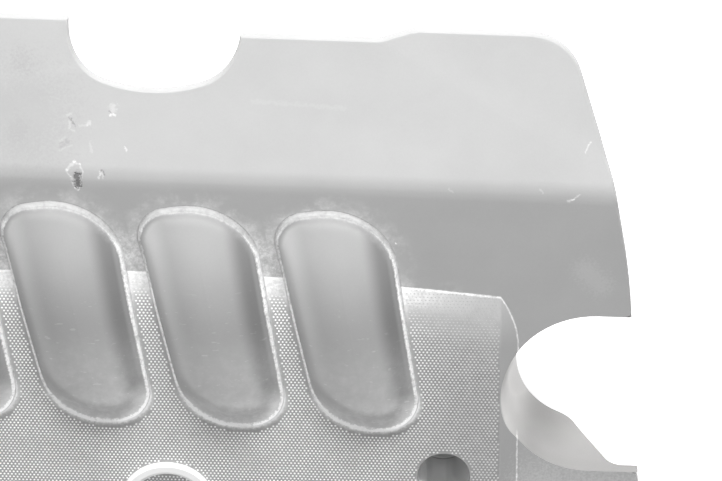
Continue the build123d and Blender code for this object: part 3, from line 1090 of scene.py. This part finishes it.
@dataclass
class CoverShell:
    """The moulded shell, with close-meshed skins for its humps and for the rear of its panel."""

    smooth_angle: float = 35.0
    skin: float = 2.0
    crease_shift: float = 3.4
    rear_cut_x: float = -12.0
    rear_cut_half: float = 53.5
    rear_cut_y: float = 155.0
    rear_shift: float = 2.8
    rear_edge: tuple[float, float] = (168.0, 184.0)
    back_slope: float = 0.51
    crease_front: tuple[float, float] = (107.5, 109.0)
    crease_rear: tuple[float, float] = (122.0, 140.0)
    crease_least_z: float = 40.0
    touch: float = 0.02
    probe: float = 0.01
    probe_gain: float = 0.002
    rim_reach: float = 0.05
    rim_depth: float = 0.5
    wall_up: float = 0.05
    top_up: float = 0.3
    depth: float = 8.0
    hump_margin: float = 0.5
    panel_margin: float = 2.0
    front_margin: float = 0.1

    def build(self) -> Piece:
        """Returns the shell, dressed."""
        piece = copy_of("cover_moulding", "cover_shell")
        rear = PanelRear()
        with editing(piece):
            bpy.ops.mesh.bisect(plane_co=(0, rear.front * MM, 0), plane_no=(0, 1, 0))
            bpy.ops.mesh.select_all(action="DESELECT")
        self.clear(piece, rear.front)
        self.lower(piece, rear.front)
        self.settle(piece)
        skins = [rear.build(), *(HumpSkin(centre).build() for centre in HUMPS.centres())]
        bpy.ops.object.select_all(action="DESELECT")
        for part in (*skins, piece):
            part.select_set(True)
        bpy.context.view_layer.objects.active = piece
        bpy.ops.object.join()
        smooth(piece, self.smooth_angle)
        return dress(piece, PlasticFinish(), Slot.COVER, "cover_moulding")

    def clear(self, piece: Piece, front: float) -> None:
        """Takes away the faces that the close-meshed skins stand for.

        Args:
            piece: The active shell.
            front: Where the panel's rear skin starts.
        """
        x, y, z = face_values(piece, "center") / MM
        nx, ny, nz = face_values(piece, "normal")
        hump = HUMPS.distance(x, y)
        outward = HUMPS.distance(x + nx * self.probe, y + ny * self.probe) - hump > self.probe_gain
        faces_out = (nz > self.wall_up) | ((nz > -self.wall_up) & outward)
        gone = (hump < self.rim_reach) & (z > PANEL.band_z - self.rim_depth) & faces_out
        on_panel = (PANEL.loaded_outline(x, y) < -self.touch) & (z > PANEL.band_z + self.touch) & (y > front)
        gone |= on_panel & (hump > 0) & (nz > self.top_up)
        drop_faces(piece, gone)

    def settle(self, piece: Piece) -> None:
        """Draws the crease, the bottom of the rear cut-out and the rear edge a little to the rear.

        Args:
            piece: The shell.
        """
        x, y, z = places_of(piece).T
        crease = eased(y, *self.crease_front) * (1 - eased(y, *self.crease_rear)) * (z > self.crease_least_z)
        in_cut = (abs(x - self.rear_cut_x) < self.rear_cut_half) & (y > self.rear_cut_y)
        rear = self.rear_shift * np.maximum(in_cut, eased(y, *self.rear_edge))
        move(piece, np.stack([x, y + self.crease_shift * crease + rear, z - rear * self.back_slope], 1))

    def lower(self, piece: Piece, front: float) -> None:
        """Keeps what is left under the new skins a wall's thickness below them.

        Args:
            piece: The shell.
            front: Where the panel's rear skin starts.
        """
        x, y, z = places_of(piece).T
        hump = HUMPS.distance(x, y)
        over = PANEL.band_z + np.maximum(PANEL.above_band(x, y), 0)
        skin = HUMPS.height(*HUMPS.local(x, y), -hump, over)
        near = z > PANEL.band_z - self.depth
        under_hump = (hump < -self.hump_margin) & near
        under_panel = (hump > -self.hump_margin) & (PANEL.loaded_outline(x, y) < -self.panel_margin) & near
        under_panel &= (y > front + self.front_margin) & (abs(z - PANEL.band_z) > self.touch)
        z = np.where(under_hump, np.minimum(z, skin - self.skin), z)
        z = np.where(under_panel, np.minimum(z, over - self.skin), z)
        move(piece, np.stack([x, y, z], 1))


@dataclass
class DotField:
    """The close-set raised dots of the panel."""

    pitch: float = 2.32
    row: float = 1.905
    radius: float = 0.80
    height: float = 0.34
    sides: int = 6
    edge: float = 1.2
    dusted: float = 6.0
    hump_margin: float = 1.6
    hump_shift: tuple[float, float] = (-0.7, 3.2)
    well_margin: float = 0.9
    ring_margin: float = 0.8
    ring_width: float = 9.0
    rear_reach: float = 60.0
    dusted_x: tuple[float, float] = (115.0, 165.0)
    fade_x: tuple[float, float] = (110.0, 180.0)
    fade: tuple[float, float, float] = (2.0, 14.0, 22.0)
    least: float = 0.3
    narrow: float = 0.6
    sink: float = 0.05
    seed: int = 5

    def places(self) -> Array:
        """Returns the dots' places and their sizes from 0 to 1, as rows of x, y and size."""
        reach = int(PANEL.half / self.pitch) + 2
        rows = range(int(PANEL.front / self.row), int(self.rear_reach / self.row) + 1)
        grid = [((i + j % 2 / 2) * self.pitch, j * self.row) for j in rows for i in range(-reach, reach)]
        x, y = np.array(grid).T
        keep = PANEL.top(x, y) < -self.edge
        keep &= PANEL.from_rear(x, y) > self.dusted * (1 - eased(x, *self.dusted_x))
        keep &= HUMPS.distance(x + self.hump_shift[0], y + self.hump_shift[1]) > self.hump_margin
        for well in WELLS:
            keep &= well.distance(x, y) > self.well_margin
        ring = RING.distance(x, y)
        keep &= (ring > self.ring_margin) | (ring < -self.ring_width)
        x, y = x[keep], y[keep]
        start, end, extra = self.fade
        full = end + extra * eased(x, *self.fade_x)
        size = self.least + (1 - self.least) * eased(PANEL.from_rear(x, y), start, full)
        size = size * (0.9 + 0.2 * np.random.default_rng(self.seed).random(len(x)))
        return np.stack([x, y, size], 1)

    def build(self) -> Piece:
        """Returns the dots as one dressed mesh: one modelled dot, repeated over the panel."""
        bpy.ops.object.select_all(action="DESELECT")
        bpy.ops.mesh.primitive_cone_add(vertices=self.sides, radius1=self.radius * MM, depth=self.height * MM,
                                        end_fill_type="NOTHING", location=(0, 0, 0))
        dot = bpy.context.object
        shape = np.array([tuple(v.co) for v in dot.data.vertices]) + (0, 0, self.height / 2 * MM)
        faces = np.array([tuple(p.vertices) for p in dot.data.polygons])
        bpy.data.objects.remove(dot)
        places = self.places()
        size = places[:, 2][:, None]
        wide = self.narrow + (1 - self.narrow) * size
        points = shape[None] * np.concatenate([wide, wide, size], 1)[:, None]
        base = np.column_stack([places[:, :2], PANEL.band_z + PANEL.above_band(*places[:, :2].T) - self.sink]) * MM
        points = (points + base[:, None]).reshape(-1, 3)
        index = (faces[None] + np.arange(len(places))[:, None, None] * len(shape)).reshape(-1, 3)
        mesh = bpy.data.meshes.new("panel_dots")
        mesh.from_pydata(points.tolist(), [], index.tolist())
        mesh.shade_smooth()
        piece = bpy.data.objects.new("panel_dots", mesh)
        bpy.context.scene.collection.objects.link(piece)
        return dress(piece, DotFinish(), Slot.COVER)


@dataclass
class SmallPieces:
    """The badge ring, the grommets, the sleeves and the bushes."""

    smooth_angle: float = 32.0

    def build(self) -> list[Piece]:
        """Returns the small pieces, dressed."""
        rubber = PlainFinish("bush_rubber", (0.22, 0.225, 0.22), 0.6)
        steel = PlainFinish("fixing_steel", (0.5, 0.5, 0.5), 0.35, 1.0)
        # The badge ring's near-white, mostly matt colour is painted reflection: it stands in for the bright shine of
        # its plating.
        chrome = PlainFinish("badge_chrome", (0.97, 0.97, 0.97), 0.22, 0.15)
        plan = {"badge_ring": (chrome, Slot.BADGE)}
        for side in ("left", "right"):
            plan[f"{side}_grommet"] = (rubber, Slot.RUBBER)
            plan[f"{side}_sleeve"] = (steel, Slot.STEEL)
            plan[f"{side}_rear_bush"] = (rubber, Slot.RUBBER)
        pieces = []
        for node, (finish, slot) in plan.items():
            piece = copy_of(node, f"{node}_look")
            smooth(piece, self.smooth_angle)
            pieces.append(dress(piece, finish, slot, node))
        return pieces


@dataclass(frozen=True)
class Lamp:
    """A soft area light; lengths are in mm and the power is in watts."""

    name: str
    place: tuple[float, float, float]
    aim: tuple[float, float, float]
    size: tuple[float, float]
    power: float

    def build(self) -> None:
        """Adds the light."""
        data = bpy.data.lights.new(self.name, "AREA")
        data.shape = "RECTANGLE"
        data.size, data.size_y = (length * MM for length in self.size)
        data.energy = self.power
        lamp = bpy.data.objects.new(self.name, data)
        bpy.context.scene.collection.objects.link(lamp)
        lamp.location = Vector(self.place) * MM
        lamp.rotation_euler = (Vector(self.aim) - Vector(self.place)).to_track_quat("-Z", "Y").to_euler()


@dataclass
class Studio:
    """Floor, light and camera."""

    target: tuple[float, float, float] = (115.1, 81.0, 62.0)
    distance: float = 2000.0
    focal_px: float = 3334.0
    sensor: float = 36.0
    tilt: float = 29.5
    roll: float = 2.0
    ambient: float = 0.10
    floor_size: float = 12.0
    lamps: tuple[Lamp, ...] = (
        Lamp("overhead", (60, 0, 2400), (60, 0, 0), (1600, 1600), 32.0),
        Lamp("window", (200, 2700, 790), (40, 40, 40), (2400, 900), 147.0))

    def build(self) -> None:
        """Sets up the floor, the world, the lights and the camera."""
        self.floor()
        self.world()
        for lamp in self.lamps:
            lamp.build()
        self.camera()

    def floor(self) -> None:
        """Lays the pale floor."""
        bpy.ops.mesh.primitive_plane_add(size=self.floor_size, location=(0, 0, 0))
        floor = bpy.context.object
        floor.name = "floor"
        floor.data.materials.append(FloorFinish().material())

    def world(self) -> None:
        """Sets the even light from all round."""
        world = bpy.data.worlds.new("studio")
        world.use_nodes = True
        background = world.node_tree.nodes["Background"]
        background.inputs["Color"].default_value = (1.0, 1.0, 1.0, 1.0)
        background.inputs["Strength"].default_value = self.ambient
        bpy.context.scene.world = world
        bpy.context.scene.view_settings.view_transform = "Standard"

    def camera(self) -> None:
        """Puts the camera where the photograph was taken from."""
        tilt = math.radians(self.tilt)
        roll = math.radians(self.roll)
        back = Vector((0, math.sin(tilt), math.cos(tilt)))
        level_up = Vector((0, math.cos(tilt), -math.sin(tilt)))
        level_right = Vector((1, 0, 0))
        right = math.cos(roll) * level_right + math.sin(roll) * level_up
        up = math.cos(roll) * level_up - math.sin(roll) * level_right
        data = bpy.data.cameras.new("camera")
        data.sensor_width = self.sensor
        data.lens = self.sensor * self.focal_px / IMAGE_WIDTH
        camera = bpy.data.objects.new("camera", data)
        bpy.context.scene.collection.objects.link(camera)
        turn = Matrix((right, up, back)).transposed().to_4x4()
        camera.matrix_world = Matrix.Translation((Vector(self.target) + self.distance * back) * MM) @ turn
        bpy.context.scene.camera = camera


def main() -> None:
    """Builds the looks piece by piece and reports each."""
    pieces = [CoverShell().build(), DotField().build(), *SmallPieces().build()]
    for piece in pieces:
        LOG.info("%s: %d faces", piece.name, len(piece.data.polygons))
    Studio().build()


if __name__ == "__main__":
    logging.basicConfig(level=logging.INFO)
    main()
